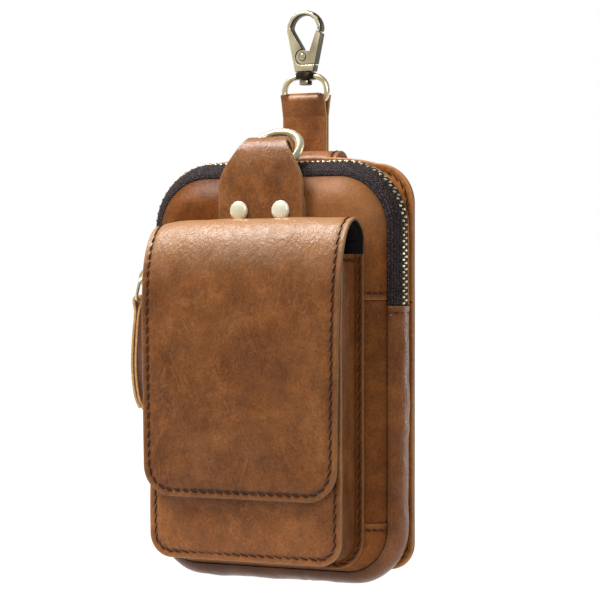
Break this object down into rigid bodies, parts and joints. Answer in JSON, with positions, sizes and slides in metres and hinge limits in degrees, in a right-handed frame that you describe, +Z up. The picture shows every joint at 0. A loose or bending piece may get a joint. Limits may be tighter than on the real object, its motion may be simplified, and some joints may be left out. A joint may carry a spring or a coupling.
{
  "type": "leather belt bag",
  "caption": "Slim leather belt bag with a zipped main compartment, a flapped front pocket, a belt loop behind and a swivel snap hook to hang it from.",
  "frame": {"origin": "inside top of the hook's crook, where the hook hangs on its support", "axes": "+Z up, +X to the right seen from the flap's side, +Y from the flap to the back panel"},
  "size_m": [0.1284, 0.0664, 0.2392],
  "materials": {
    "leather": "waxed pull-up leather with a soft sheen",
    "zip_tape": "woven matt tape",
    "lining": "matt woven lining",
    "brass": "antique brass, polished on the high spots"
  },
  "bodies": {
    "hook": {"hook_body": "brass", "gate_pin": "brass"},
    "gate": {"hook_gate": "brass"},
    "loop": {"hook_loop": "brass"},
    "ring": {"tab_ring": "brass"},
    "bag": {"back_panel": "leather", "front_panel_upper": "leather", "front_panel_middle": "leather", "front_panel_lower": "leather", "gusset": "leather", "zip_facing": "leather", "zip_pull_strap": "leather", "pocket_flap": "leather", "pocket_gusset": "leather", "pocket_front": "leather", "front_tab": "leather", "belt_loop": "leather", "hook_strap": "leather", "zip_tape_front": "zip_tape", "zip_tape_rear": "zip_tape", "flap_lining": "lining", "zip_chain": "brass", "zip_slider": "brass", "zip_pull_link": "brass", "tab_rivet_left": "brass", "tab_rivet_right": "brass"}
  },
  "joints": [
    {"name": "gate_hinge", "type": "hinge", "parent": "hook", "child": "gate", "pos_m": [-0.0006, 0, -0.0178], "axis": [0, -1, 0], "range_deg": [0, 28], "stiffness_Nm_per_rad": 0.03, "springref_deg": -17.19},
    {"name": "loop_swivel", "type": "hinge", "parent": "hook", "child": "loop", "pos_m": [0, 0, -0.0258], "axis": [0, 0, 1], "continuous": true},
    {"name": "bag_swing", "type": "hinge", "parent": "loop", "child": "bag", "pos_m": [0, 0, -0.0363], "axis": [1, 0, 0], "range_deg": [-22, 22]},
    {"name": "ring_swing", "type": "hinge", "parent": "bag", "child": "ring", "pos_m": [0, -0.03785, -0.0675], "axis": [1, 0, 0], "range_deg": [0, 30]}
  ]
}
